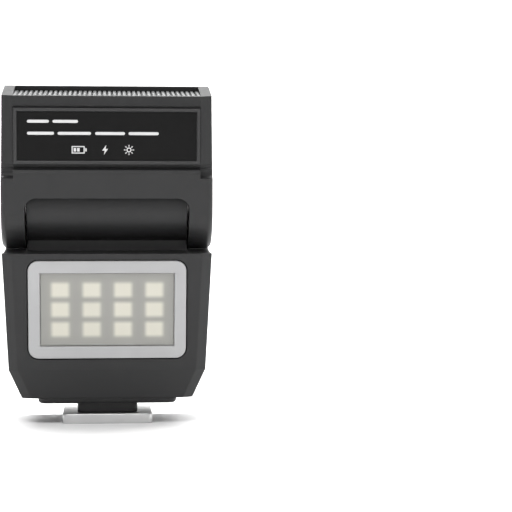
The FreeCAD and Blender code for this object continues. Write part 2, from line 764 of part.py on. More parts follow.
def axle_tools(tag):
    """Bores for the hinge axles in the barrel's end walls, and room for the axles' flanges."""
    end_wall = "barrel_length / 2 - barrel_end_wall"
    stretches = [
        ("bore", "axle_radius + axle_seat_gap", "barrel_length / 4", "barrel_length / 2 + 1"),
        ("flange", "axle_flange_radius + axle_gap", f"{end_wall} - axle_flange - axle_gap", end_wall),
    ]
    tools = []
    for side, sign in SIDES:
        for label, radius, near, far in stretches:
            low, high = mirrored_range(sign, near, far)
            tools.append(disc(
                f"barrel_{label}_{tag}_{side}", "YZ_Plane", ("pivot_y", "pivot_z"), radius, low, high
            ))
    return tools


def foot_tools(tag):
    """Screw holes and the wire hole in the case's floor."""
    tools = []
    low, high = "case_foot_z - 1", "foot_screw_top_z + screw_gap"
    for index, centre in enumerate(FOOT_SCREWS):
        tools.append(disc(
            f"floor_hole_{tag}_{index}", "XY_Plane", centre, "screw_radius + screw_gap", low, high
        ))
    wire = disc(
        f"floor_wire_{tag}", "XY_Plane", ("0", "0"), "contact_stem_radius + 3 * contact_gap",
        "case_foot_z - 1", "case_foot_z + case_floor + 1",
    )
    return tools + [wire]


LIGHT_WIDTH = "(window_width + 2 * diffuser_rim)"
LIGHT_HEIGHT = "(window_height + 2 * diffuser_rim)"


def make_front_shell(blank):
    seat = plate(
        "bezel_seat_tool", "XZ_Plane", "bezel_width + 2 * bezel_gap", "bezel_height + 2 * bezel_gap",
        "-2", "bezel_seat", "bezel_corner + bezel_gap",
    )
    opening = plate(
        "light_opening", "XZ_Plane", f"{LIGHT_WIDTH} + 2 * bezel_gap",
        f"{LIGHT_HEIGHT} + 2 * bezel_gap", "-2", "case_wall + 0.5",
    )
    tools = [place(seat, CASE), place(opening, CASE)]
    for index, centre in enumerate(CASE_SCREWS):
        tools.append(case_hole(
            f"post_hole_{index}", centre, "screw_radius + screw_gap",
            "parting_depth - screw_grip - 1", "parting_depth + 1",
        ))
    tools += axle_tools("front") + foot_tools("front")
    node("body_front_shell", cut("front_shell", blank, *tools))


def make_rear_shell(blank):
    button_bore = case_hole(
        "button_bore", ("0", BUTTON_UP), "button_radius + button_gap",
        "case_depth - case_wall - 1", "case_depth + 2",
    )
    socket_room = place(slab(
        "socket_opening", "YZ_Plane",
        rectangle("socket_height + 2 * socket_gap", "socket_width + 2 * socket_gap",
                  "board_depth - socket_height / 2", "socket_up"),
        "-case_top_width / 2 - 1", "-(socket_mouth_x - socket_length) + 0.5",
    ), CASE)
    tools = [button_bore, socket_room]
    for index, centre in enumerate(CASE_SCREWS):
        tools.append(case_hole(
            f"column_hole_{index}", centre, "screw_radius + screw_gap",
            "parting_depth - 1", "case_depth - 1",
        ))
        tools.append(case_hole(
            f"column_sink_{index}", centre, "screw_head_radius + screw_gap",
            "case_depth - screw_sink - screw_head", "case_depth + 1",
        ))
    tools += axle_tools("rear") + foot_tools("rear")
    node("body_rear_shell", cut("rear_shell", blank, *tools))


def make_case_screws():
    screws = []
    for index, centre in enumerate(CASE_SCREWS):
        screws.append(screw(
            f"case_screw_{index}", "XZ_Plane", centre, -1, "case_depth - screw_sink",
            "parting_depth - screw_grip", "screw_radius", "screw_head_radius", "screw_head",
        ))
    node("case_screws", group("case_screw_set", *screws), CASE)


# ---- LED panel -------------------------------------------------------------------------------

DIFFUSER_BACK = "bezel_seat + diffuser_thickness"
LED_BOARD_FRONT = f"({DIFFUSER_BACK} + light_frame_depth)"


def make_led_panel():
    ring = plate(
        "bezel_blank", "XZ_Plane", "bezel_width", "bezel_height", "-bezel_proud", "bezel_seat",
        "bezel_corner",
    )
    window = plate(
        "bezel_window", "XZ_Plane", "window_width", "window_height", "-bezel_proud - 1", "bezel_seat + 1"
    )
    node("led_bezel", cut("bezel", ring, window), CASE)

    back_plate = plate(
        "diffuser_plate", "XZ_Plane", LIGHT_WIDTH, LIGHT_HEIGHT, "bezel_seat", DIFFUSER_BACK
    )
    pane = plate(
        "diffuser_pane", "XZ_Plane", "window_width - bezel_gap", "window_height - bezel_gap",
        "window_inset - bezel_proud", "bezel_seat + diffuser_thickness / 2",
    )
    node("led_diffuser", fuse("diffuser", back_plate, pane), CASE)

    frame_outside = plate(
        "light_frame_outside", "XZ_Plane", f"{LIGHT_WIDTH} + light_frame_wall",
        f"{LIGHT_HEIGHT} + light_frame_wall", DIFFUSER_BACK, LED_BOARD_FRONT,
    )
    frame_inside = plate(
        "light_frame_inside", "XZ_Plane", f"{LIGHT_WIDTH} - light_frame_wall",
        f"{LIGHT_HEIGHT} - light_frame_wall", DIFFUSER_BACK + " - 1", LED_BOARD_FRONT + " + 1",
    )
    node("led_light_frame", cut("light_frame", frame_outside, frame_inside), CASE)

    node("led_board", plate(
        "led_circuit", "XZ_Plane", f"{LIGHT_WIDTH} + light_frame_wall",
        f"{LIGHT_HEIGHT} + light_frame_wall", LED_BOARD_FRONT,
        LED_BOARD_FRONT + " + led_board_thickness",
    ), CASE)

    emitters = []
    for column in (-1.5, -0.5, 0.5, 1.5):
        for row in (-1, 0, 1):
            emitters.append(plate(
                f"led_{len(emitters)}", "XZ_Plane", "led_width", "led_height",
                LED_BOARD_FRONT + " - led_thickness", LED_BOARD_FRONT, None,
                f"{column} * led_pitch_across", f"{row} * led_pitch_up",
            ))
    node("led_emitters", group("led_set", *emitters), CASE)


# ---- electronics of the body -----------------------------------------------------------------

def make_electronics():
    node("battery", plate(
        "battery_cell", "XZ_Plane", "battery_width", "battery_height",
        "battery_depth", "battery_depth + battery_thickness", None,
        "0", "battery_low + battery_height / 2",
    ), CASE)
    node("main_board", plate(
        "main_circuit", "XZ_Plane", "board_width", "board_high - board_low",
        "board_depth", "board_depth + board_thickness", None, "0", "(board_high + board_low) / 2",
    ), CASE)
    node("transformer", plate(
        "transformer_block", "XZ_Plane", "transformer_side", "transformer_side",
        "board_depth - transformer_thickness", "board_depth", None, "transformer_x", "transformer_up",
    ), CASE)
    node("main_capacitor", disc(
        "capacitor_can", "YZ_Plane", ("capacitor_depth", "capacitor_up"), "capacitor_radius",
        "-capacitor_length / 2", "capacitor_length / 2",
    ), CASE)
    middle = "board_depth - socket_height / 2"
    shell = slab(
        "socket_shell_blank", "YZ_Plane",
        rectangle("socket_height", "socket_width", middle, "socket_up"),
        "-socket_mouth_x", "-(socket_mouth_x - socket_length)",
    )
    round_edges(shell, "socket_height * 0.4", along(X_AXIS))
    bore = slab(
        "socket_bore", "YZ_Plane",
        rectangle("socket_height - 2 * socket_shell", "socket_width - 2 * socket_shell",
                  middle, "socket_up"),
        "-socket_mouth_x - 1", "-(socket_mouth_x - socket_length) - 1.2",
    )
    round_edges(bore, "socket_height * 0.4 - socket_shell", along(X_AXIS))
    tongue = slab(
        "socket_tongue", "YZ_Plane",
        rectangle("socket_height / 4", "socket_width * 0.7", middle, "socket_up"),
        "-socket_mouth_x + 0.8", "-(socket_mouth_x - socket_length) - 0.6",
    )
    hollow_shell = cut("socket_hollow", shell, bore)
    node("charging_socket", fuse("socket", hollow_shell, tongue), CASE)


def make_button():
    flange_top = "(case_depth - case_wall)"
    cap = disc(
        "button_cap", "XZ_Plane", ("0", BUTTON_UP), "button_radius", flange_top,
        "case_depth + button_proud",
    )
    outer_face = size("case_depth") + size("button_proud")
    round_edges(cap, "button_round", lambda edge: abs(edge.BoundBox.YMax - outer_face) < 0.01
                and abs(edge.BoundBox.YMin - outer_face) < 0.01)
    flange = disc(
        "button_flange_disc", "XZ_Plane", ("0", BUTTON_UP), "button_flange_radius",
        f"{flange_top} - button_flange", flange_top,
    )
    node("power_button", fuse("button", cap, flange), CASE)

    board_back = "(board_depth + board_thickness)"
    body = plate(
        "switch_body", "XZ_Plane", "switch_side", "switch_side", board_back,
        f"{board_back} + switch_thickness", None, "0", BUTTON_UP,
    )
    tip = disc(
        "switch_tip", "XZ_Plane", ("0", BUTTON_UP), "switch_tip_radius",
        f"{board_back} + switch_thickness / 2",
        f"{flange_top} - button_flange - button_travel - switch_tip_gap",
    )
    node("button_switch", fuse("switch", body, tip), CASE)


# ---- hinge -----------------------------------------------------------------------------------

BARREL_END = "barrel_length / 2"
ARM_INNER = f"({BARREL_END} + arm_gap)"
ARM_FLOOR_END = f"({ARM_INNER} + arm_floor)"
WASHER_START = f"({ARM_FLOOR_END} + washer_gap)"
RING_START = f"({WASHER_START} + washer_thickness)"
RING_END = f"({RING_START} + ring_thickness)"
CAP_OUTER = "(head_arm_width / 2 - cap_inset)"
CAP_INNER = f"({CAP_OUTER} - cap_thickness)"
CENTRE = ("0", "0")


def make_hinge():
    washers = []
    rings = []
    for side, sign in SIDES:
        stretches = [
            ("flange", "axle_flange_radius",
             f"{BARREL_END} - barrel_end_wall - axle_flange", f"{BARREL_END} - barrel_end_wall"),
            ("shaft", "axle_radius", f"{BARREL_END} - barrel_end_wall", RING_START),
            ("groove", "axle_groove_radius", RING_START, RING_END),
            ("tip", "axle_radius", RING_END, f"{RING_END} + axle_tip"),
        ]
        parts = []
        for label, radius, near, far in stretches:
            low, high = mirrored_range(sign, near, far)
            parts.append(disc(f"axle_{label}_{side}", "YZ_Plane", CENTRE, radius, low, high))
        low, high = mirrored_range(sign, "0", "head_arm_width / 2")
        bore = disc(f"axle_passage_{side}", "YZ_Plane", CENTRE, "axle_bore_radius", low, high)
        axle = cut(f"axle_{side}", fuse(f"axle_blank_{side}", *parts), bore)
        node(f"hinge_axle_{side}", axle, PIVOT)

        low, high = mirrored_range(sign, WASHER_START, RING_START)
        washers.append(tube(
            f"washer_{side}", "YZ_Plane", CENTRE, "washer_radius", "axle_radius + axle_gap", low, high
        ))
        low, high = mirrored_range(sign, RING_START, RING_END)
        ring = tube(
            f"ring_{side}", "YZ_Plane", CENTRE, "ring_radius", "axle_groove_radius + axle_seat_gap",
            low, high,
        )
        mouth = slab(
            f"ring_mouth_{side}", "YZ_Plane",
            rectangle("ring_mouth", "2 * ring_radius", "0", "-ring_radius"), low, high,
        )
        rings.append(cut(f"open_ring_{side}", ring, mouth))

        low, high = mirrored_range(sign, CAP_INNER, CAP_OUTER)
        cap = disc(f"cap_disc_{side}", "YZ_Plane", CENTRE, "cap_radius", low, high)
        low, high = mirrored_range(sign, f"{CAP_INNER} - cap_skirt_depth", CAP_INNER)
        skirt = tube(
            f"cap_skirt_{side}", "YZ_Plane", CENTRE, "cap_skirt_radius",
            "cap_skirt_radius - cap_skirt_wall", low, high,
        )
        node(f"hinge_cap_{side}", fuse(f"cap_{side}", cap, skirt), HEAD)
    node("friction_washers", group("washer_set", *washers), PIVOT)
    node("retaining_rings", group("ring_set", *rings), PIVOT)


# ---- head ------------------------------------------------------------------------------------

LEDGE_TOP = (
    "(label_centre_u - (label_height / 2 + label_gap + ledge_gap) * cos(label_face_lean * 1 deg))"
)


def face_v(height):
    """Position of the head's front face at a height above the pivot."""
    return f"-(head_front_v + (head_top_u - ({height})) * tan(label_face_lean * 1 deg))"


def back_v(height):
    """Position of the head's rear face at a height above the pivot."""
    fall = "(arm_radius - head_rear_v) / (head_top_u - head_waist_u)"
    return f"(arm_radius - ({height} - head_waist_u) * {fall})"


def head_outline():
    groove_top = f"({LEDGE_TOP} + ledge_gap)"
    groove_v = f"{face_v(LEDGE_TOP)} + ledge_gap_depth"
    return [
        ("-head_front_v", "head_top_u"),
        (face_v(groove_top), groove_top),
        (groove_v, groove_top),
        (groove_v, LEDGE_TOP),
        (face_v(LEDGE_TOP), LEDGE_TOP),
        ("-arm_radius + ledge_rise / 2", f"{LEDGE_TOP} - ledge_rise / 5"),
        ("-arm_radius", f"{LEDGE_TOP} - ledge_rise"),
        ("-arm_radius", "0"),
        ("arm_radius", "0"),
        ("arm_radius", "head_waist_u"),
        ("head_rear_v", "head_top_u"),
    ]


def head_taper_outline(sign):
    top = f"{sign} * head_top_width / 2"
    arm = f"{sign} * head_arm_width / 2"
    outside = f"{sign} * (head_arm_width / 2 + 3)"
    return [(arm, "0"), (top, "head_top_u"), (top, "head_top_u + 1"),
            (outside, "head_top_u + 1"), (outside, "0")]


def head_solid():
    half = "head_arm_width / 2"
    block = plate("head_block", "XY_Plane", "head_arm_width", "2 * arm_radius", "0", "head_top_u",
                  "arm_edge_round")
    profile = slab("head_profile", "YZ_Plane", head_outline(), f"-{half} - 1", f"{half} + 1")
    arms = disc("head_arms", "YZ_Plane", CENTRE, "arm_radius", f"-{half}", half)
    round_edges(arms, "arm_edge_round", lambda edge: isinstance(edge.Curve, Part.Circle))
    whole = fuse("head_whole", common("head_upper", block, profile), arms)
    tapers = [
        slab(f"head_taper_{side}", "XZ_Plane", head_taper_outline(sign),
             "-2 * arm_radius", "2 * arm_radius")
        for side, sign in SIDES
    ]
    return cut("head_outside", whole, *tapers)


def side_facet_tools():
    """Cutters for the facet beside the label plate, each with a round run-out at its foot."""
    tools = []
    for side, sign in SIDES:
        inner = f"{sign} * (head_top_width / 2 - side_facet_across)"
        outer = f"{sign} * (head_arm_width / 2 + 2)"
        reach = "side_facet_back / side_facet_across * (side_facet_across + 2)"
        foot = "(side_facet_u - label_centre_u) / cos(label_face_lean * 1 deg)"
        wedge = slab(
            f"facet_wedge_{side}", "XY_Plane",
            [(inner, "0"), (outer, reach), (outer, "-6"), (inner, "-6")],
            foot, "head_top_u",
        )
        tools.append(place(wedge, LABEL_IN_HEAD))
        step = "head_top_width / 2 - side_facet_across"
        low, high = mirrored_range(sign, step, "head_arm_width / 2 + 2")
        centre_v = f"({face_v('side_facet_u')} + side_facet_back - side_facet_round)"
        tools.append(disc(
            f"facet_runout_{side}", "YZ_Plane", (centre_v, "side_facet_u"), "side_facet_round", low, high
        ))
        tools.append(slab(
            f"facet_clear_{side}", "YZ_Plane",
            [(centre_v, "side_facet_u - side_facet_round"), (centre_v, "side_facet_u + 1"),
             ("-arm_radius - 2", "side_facet_u + 1"),
             ("-arm_radius - 2", "side_facet_u - side_facet_round")],
            low, high,
        ))
    return tools


def head_tools(tag):
    """What is cut from both halves of the head, for one of them."""
    half_gap = ARM_INNER
    tools = [disc(
        f"barrel_room_{tag}", "YZ_Plane", CENTRE, "barrel_radius + barrel_gap",
        f"-{half_gap}", half_gap,
    )]
    window = place(plate(
        f"lens_window_{tag}", "XY_Plane", "lens_width + 2 * lens_gap", f"{LENS_LENGTH} + 2 * lens_gap",
        "-lens_thickness", "2 * lens_thickness",
    ), LENS_IN_HEAD)
    light_way = place(plate(
        f"light_way_{tag}", "XY_Plane", "lens_width - 2 * lens_lip", f"{LENS_LENGTH} - 2 * lens_lip",
        "-3 * lens_thickness", "0",
    ), LENS_IN_HEAD)
    top = "head_top_u - reflector_drop"
    half = "head_top_width / 2 - head_wall"
    chamber = slab(
        f"head_chamber_{tag}", "YZ_Plane",
        [(f"{face_v(top)} + head_wall", top),
         (f"{face_v('cavity_floor_u')} + head_wall + ledge_gap_depth", "cavity_floor_u"),
         (f"{back_v('cavity_floor_u')} - head_wall", "cavity_floor_u"),
         (f"{back_v(top)} - head_wall", top)],
        f"-({half})", half,
    )
    tools += [window, light_way, chamber]
    for side, sign in SIDES:
        stretches = [
            ("axle", "axle_radius + axle_gap", ARM_INNER + " - 1", ARM_FLOOR_END + " + 1"),
            ("pocket", "cap_skirt_radius + cap_gap", ARM_FLOOR_END, "head_arm_width / 2 + 1"),
            ("seat", "cap_radius + cap_gap", CAP_INNER, "head_arm_width / 2 + 1"),
        ]
        for label, radius, near, far in stretches:
            low, high = mirrored_range(sign, near, far)
            tools.append(disc(f"{label}_{tag}_{side}", "YZ_Plane", CENTRE, radius, low, high))
    return tools


def head_screw_hole(name, sign, radius, low, high):
    centre = (f"{sign} * head_screw_x", "head_screw_u")
    return disc(name, "XZ_Plane", centre, radius, low, high)


SCREW_FACE_V = face_v("(head_screw_u + small_head_radius)")
SCREW_SEAT_V = f"({SCREW_FACE_V} + label_thickness - label_proud + small_head + screw_gap)"


def make_head():
    outside = head_solid()
    span = "3 * arm_radius"
    front_block = plate("head_front_half", "XZ_Plane", "2 * head_arm_width", "4 * head_top_u",
                        f"-{span}", "0")
    rear_block = plate("head_rear_half", "XZ_Plane", "2 * head_arm_width", "4 * head_top_u",
                       "0", span)
    notch = slab(
        "front_notch", "XZ_Plane", rectangle(f"2 * {ARM_INNER}", "front_notch_u + 3 * arm_radius", "0",
                                             "(front_notch_u - 3 * arm_radius) / 2"),
        f"-{span}", "0",
    )
    notch_top = size("front_notch_u")
    round_edges(notch, "notch_corner", lambda edge: along(Y_AXIS)(edge)
                and abs(edge.BoundBox.ZMax - notch_top) < 0.01)
    rear_notch = slab(
        "rear_notch", "XZ_Plane", rectangle(f"2 * {ARM_INNER}", "rear_notch_u + 3 * arm_radius", "0",
                                            "(rear_notch_u - 3 * arm_radius) / 2"),
        "0", span,
    )
    recess = place(slab(
        "label_recess", "XZ_Plane",
        [("-(label_width / 2 + label_gap)", "-(label_height / 2 + label_gap + ledge_gap)"),
         ("label_width / 2 + label_gap", "-(label_height / 2 + label_gap + ledge_gap)"),
         ("label_width / 2 + label_gap", "label_height / 2 + label_top_gap"),
         ("-(label_width / 2 + label_gap)", "label_height / 2 + label_top_gap")],
        "-1", "label_thickness - label_proud",
    ), LABEL_IN_HEAD)

    hollow_front = cut("head_front_hollow", common("head_front_part", outside, front_block),
                       notch, recess, *head_tools("front"), *side_facet_tools())
    hollow_rear = cut("head_rear_hollow", common("head_rear_part", outside, rear_block),
                      rear_notch, *head_tools("rear"))

    front_posts = []
    rear_posts = []
    front_holes = []
    rear_holes = []
    for side, sign in SIDES:
        front_posts.append(head_screw_hole(
            f"head_post_{side}", sign, "head_boss_radius", f"{SCREW_SEAT_V} - small_head / 2", "0"
        ))
        rear_posts.append(head_screw_hole(
            f"head_socket_{side}", sign, "head_boss_radius", "0", "head_rear_v"
        ))
        front_holes.append(head_screw_hole(
            f"head_hole_{side}", sign, "small_screw_radius + screw_gap", f"-{span}", "1"
        ))
        front_holes.append(head_screw_hole(
            f"head_sink_{side}", sign, "small_head_radius + screw_gap", f"-{span}", SCREW_SEAT_V
        ))
        rear_holes.append(head_screw_hole(
            f"head_thread_{side}", sign, "small_screw_radius + screw_gap", "-1", "screw_grip"
        ))
    node("head_front_shell", cut("head_front", fuse("head_front_posted", hollow_front, *front_posts),
                                 *front_holes), HEAD)
    node("head_rear_shell", cut("head_rear", fuse("head_rear_posted", hollow_rear, *rear_posts),
                                *rear_holes), HEAD)

    screws = []
    for side, sign in SIDES:
        screws.append(screw(
            f"head_screw_{side}", "XZ_Plane", (f"{sign} * head_screw_x", "head_screw_u"), 1,
            f"{SCREW_SEAT_V} - small_head", "screw_grip - 0.3", "small_screw_radius",
            "small_head_radius", "small_head",
        ))
    node("head_screws", group("head_screw_set", *screws), HEAD)


def make_label():
    blank = plate("label_blank", "XZ_Plane", "label_width", "label_height", "-label_proud",
                  "label_thickness - label_proud")
    floor = slab(
        "label_floor", "XZ_Plane",
        rectangle("label_width - 2 * label_rim", "label_height - 2 * label_rim"),
        "-label_proud - 1", "-label_proud + label_floor_depth",
    )
    mouth = plate(
        "label_mouth", "XZ_Plane", "label_width - 2 * label_rim + 2 * label_rim_bevel",
        "label_height - 2 * label_rim + 2 * label_rim_bevel",
        "-label_proud - 1", "-label_proud + label_rim_bevel",
    )
    mouth_end = size("label_rim_bevel") - size("label_proud")
    bevel_edges(mouth, "label_rim_bevel", lambda edge: edge.BoundBox.YMin > mouth_end - 0.01)
    node("label_plate", cut("label", blank, floor, mouth), LABEL)


def make_lens():
    body = plate("lens", "XY_Plane", "lens_width", LENS_LENGTH, "-lens_thickness", "0")
    sketch = new_sketch(body, "XZ_Plane", "0", "0")
    first = "(-rib_pitch * (rib_count - 1) / 2)"
    draw_outline(sketch, [
        (f"{first} - rib_groove", "rib_depth"),
        (first, "-rib_depth"),
        (f"{first} + rib_groove", "rib_depth"),
    ])
    groove = body.newObject("PartDesign::Pocket", "lens_groove")
    groove.Profile = sketch
    groove.Type = "ThroughAll"
    groove.Midplane = True
    doc.recompute()
    ribs = body.newObject("PartDesign::LinearPattern", "lens_ribs")
    ribs.Originals = [groove]
    ribs.Direction = (sketch, ["H_Axis"])
    bind(ribs, "Length", "rib_pitch * (rib_count - 1)")
    bind(ribs, "Occurrences", "rib_count")
    body.Tip = ribs
    doc.recompute()
    node("fresnel_lens", body, LENS)


def trough(name, sheet_wall, low, high, extra):
    outline = [
        (f"-(reflector_mouth_front - ({sheet_wall}))", f"head_top_u - reflector_drop + ({extra})"),
        (f"-(reflector_foot_front - ({sheet_wall}))", f"reflector_foot_u + ({sheet_wall})"),
        (f"reflector_foot_rear - ({sheet_wall})", f"reflector_foot_u + ({sheet_wall})"),
        (f"reflector_mouth_rear - ({sheet_wall})", f"head_top_u - reflector_drop + ({extra})"),
    ]
    return slab(name, "YZ_Plane", outline, low, high)


def make_light_source():
    half = "reflector_width / 2"
    outer = trough("reflector_outside", "0", f"-{half}", half, "0")
    inner = trough("reflector_inside", "reflector_sheet", f"-({half} - reflector_sheet)",
                   f"{half} - reflector_sheet", "0.5")
    centre = ("tube_v", "tube_u")
    hole = disc("reflector_holes", "YZ_Plane", centre, "tube_radius + tube_gap",
                f"-{half} - 1", f"{half} + 1")
    node("flash_reflector", cut("reflector", outer, inner, hole), HEAD)
    node("flash_tube", disc("tube_glass", "YZ_Plane", centre, "tube_radius",
                            "-tube_length / 2", "tube_length / 2"), HEAD)
    sleeves = []
    for side, sign in SIDES:
        low, high = mirrored_range(sign, half, f"{half} + sleeve_length")
        sleeves.append(tube(f"sleeve_{side}", "YZ_Plane", centre, "sleeve_radius", "tube_radius",
                            low, high))
    node("tube_sleeves", group("sleeve_set", *sleeves), HEAD)
    node("trigger_coil", disc("coil_bobbin", "YZ_Plane", ("coil_v", "coil_u"), "coil_radius",
                              "-coil_length / 2", "coil_length / 2"), HEAD)


# ---- foot ------------------------------------------------------------------------------------

def foot_holes(tag, low, high):
    return [
        disc(f"{tag}_hole_{index}", "XY_Plane", centre, "screw_radius + screw_gap", low, high)
        for index, centre in enumerate(FOOT_SCREWS)
    ]


def make_foot():
    tray_blank = plate("tray_blank", "XY_Plane", "tray_width", "tray_length",
                       "tray_bottom_z", "case_foot_z", "tray_corner")
    underside = size("tray_bottom_z")
    bevel_edges(tray_blank, "tray_bevel", lambda edge: abs(edge.BoundBox.ZMax - underside) < 0.01)
    wire = disc("tray_wire_hole", "XY_Plane", CENTRE, "contact_stem_radius + contact_gap",
                "tray_bottom_z - 1", "case_foot_z + 1")
    node("base_tray", cut("tray", tray_blank, wire,
                          *foot_holes("tray", "tray_bottom_z - 1", "case_foot_z + 1")))

    block_blank = plate("block_blank", "XY_Plane", "block_width", "block_length",
                        "plate_thickness", "tray_bottom_z", "plate_corner")
    block_bore = disc("block_bore", "XY_Plane", CENTRE, "insulator_radius + insulator_gap",
                      "plate_thickness - 1", "tray_bottom_z + 1")
    node("foot_block", cut("block", block_blank, block_bore,
                           *foot_holes("block", "plate_thickness - 1", "tray_bottom_z + 1")))

    plate_blank = plate("plate_blank", "XY_Plane", "plate_width", "plate_length", "0",
                        "plate_thickness", "plate_corner")
    plate_bore = disc("plate_bore", "XY_Plane", CENTRE, "insulator_radius + insulator_gap",
                      "-1", "plate_thickness + 1")
    sinks = [
        disc(f"plate_sink_{index}", "XY_Plane", centre, "screw_head_radius + screw_gap", "-1",
             "screw_head + screw_gap")
        for index, centre in enumerate(FOOT_SCREWS)
    ]
    node("foot_plate", cut("plate", plate_blank, plate_bore, *sinks,
                           *foot_holes("plate", "-1", "plate_thickness + 1")))

    screws = [
        screw(f"foot_screw_{index}", "XY_Plane", centre, 1, "screw_gap", "foot_screw_top_z",
              "screw_radius", "screw_head_radius", "screw_head")
        for index, centre in enumerate(FOOT_SCREWS)
    ]
    node("foot_screws", group("foot_screw_set", *screws))


def make_contact():
    flange_top = "(contact_tip + contact_flange)"
    parts = [
        disc("contact_pin", "XY_Plane", CENTRE, "contact_radius", "0", "contact_tip"),
        disc("contact_collar", "XY_Plane", CENTRE, "contact_flange_radius", "contact_tip", flange_top),
        disc("contact_stem", "XY_Plane", CENTRE, "contact_stem_radius", flange_top,
             "case_foot_z - contact_gap"),
    ]
    node("centre_contact", fuse("contact", *parts))

    blank = disc("insulator_blank", "XY_Plane", CENTRE, "insulator_radius", "0", "tray_bottom_z")
    mouth = disc("insulator_mouth", "XY_Plane", CENTRE, "contact_radius + contact_gap",
                 "-1", "contact_tip + 1")
    room = disc("insulator_room", "XY_Plane", CENTRE, "contact_flange_radius + contact_gap",
                "contact_tip", "tray_bottom_z + 1")
    node("contact_insulator", cut("insulator", blank, mouth, room))

    low = f"({flange_top} + spring_wire)"
    rise = f"(tray_bottom_z - spring_wire - {low})"
    body = doc.addObject("PartDesign::Body", "spring")
    sketch = new_sketch(body, "XZ_Plane", "0", "0")
    sketch.addGeometry(Part.Circle(Vector(size("spring_radius"), number(low), 0), Z_AXIS,
                                   size("spring_wire")), False)
    fix_point(sketch, 0, 3, ("spring_radius", low))
    index = sketch.addConstraint(Sketcher.Constraint("Radius", 0, size("spring_wire")))
    bind(sketch, f"Constraints[{index}]", "spring_wire")
    coil = body.newObject("PartDesign::AdditiveHelix", "spring_coil")
    coil.Profile = sketch
    coil.ReferenceAxis = (sketch, ["V_Axis"])
    coil.Mode = "pitch-height-angle"
    bind(coil, "Pitch", f"{rise} / spring_turns")
    bind(coil, "Height", rise)
    doc.recompute()
    node("contact_spring", body)


# ---- the whole object ------------------------------------------------------------------------

def check_and_write():
    doc.recompute()
    for thing in doc.Objects:
        if "Invalid" in thing.State or "Error" in thing.State:
            raise RuntimeError(f"{thing.Name} failed: {thing.State}")
    for label, thing in nodes.items():
        if thing.Shape.isNull() or not thing.Shape.isValid():
            raise RuntimeError(f"{label} has no valid shape")
    os.makedirs("parts", exist_ok=True)
    for label, thing in nodes.items():
        thing.Shape.exportStep(f"parts/{label}.step")
        print(f"{label}: {len(thing.Shape.Solids)} solid(s), {thing.Shape.Volume:.1f} mm3")


make_case()
make_case_screws()
make_led_panel()
make_electronics()
make_button()
make_hinge()
make_head()
make_label()
make_lens()
make_light_source()
make_foot()
make_contact()
check_and_write()
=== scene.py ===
"""Compact bounce flash: materials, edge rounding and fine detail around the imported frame."""
import json
import math

import bmesh
import bpy
from mathutils import Matrix, Vector


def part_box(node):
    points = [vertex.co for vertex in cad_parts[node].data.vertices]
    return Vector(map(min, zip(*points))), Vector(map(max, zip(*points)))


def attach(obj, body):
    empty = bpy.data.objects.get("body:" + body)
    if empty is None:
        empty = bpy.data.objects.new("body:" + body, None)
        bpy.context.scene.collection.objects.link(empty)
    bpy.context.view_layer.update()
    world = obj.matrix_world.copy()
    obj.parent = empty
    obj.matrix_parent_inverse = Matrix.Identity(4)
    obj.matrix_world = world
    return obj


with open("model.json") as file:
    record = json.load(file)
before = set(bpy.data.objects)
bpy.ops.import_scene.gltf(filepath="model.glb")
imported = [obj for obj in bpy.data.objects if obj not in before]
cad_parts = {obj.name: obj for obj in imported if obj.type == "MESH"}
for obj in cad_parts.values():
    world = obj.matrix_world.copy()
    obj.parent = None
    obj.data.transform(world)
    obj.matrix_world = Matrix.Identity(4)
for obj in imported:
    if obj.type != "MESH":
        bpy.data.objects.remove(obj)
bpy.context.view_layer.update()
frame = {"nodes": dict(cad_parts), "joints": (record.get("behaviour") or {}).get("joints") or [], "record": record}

MM = 0.001
NODES = frame["nodes"]
JOINTS = {joint["name"]: joint for joint in frame["joints"]}
HEAD_SHELLS = {"head_front_shell", "head_rear_shell"}

# ---- places, from the frame ------------------------------------------------------------------

PIVOT = Vector(JOINTS["head_tilt"]["pos_m"])
PRESS = Vector(JOINTS["power_button_press"]["axis"])
CASE_LEAN = math.atan2(-PRESS.z, -PRESS.y)
HEAD_LEAN = -math.radians(JOINTS["head_tilt"]["range_deg"][0])
LABEL_TAPER = math.radians(6.5)  # the label's face leans back this much from the head's lean
LABEL_LEAN = HEAD_LEAN - LABEL_TAPER


def middle(node):
    low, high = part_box(node)
    return (low + high) / 2


# ---- node helpers ----------------------------------------------------------------------------

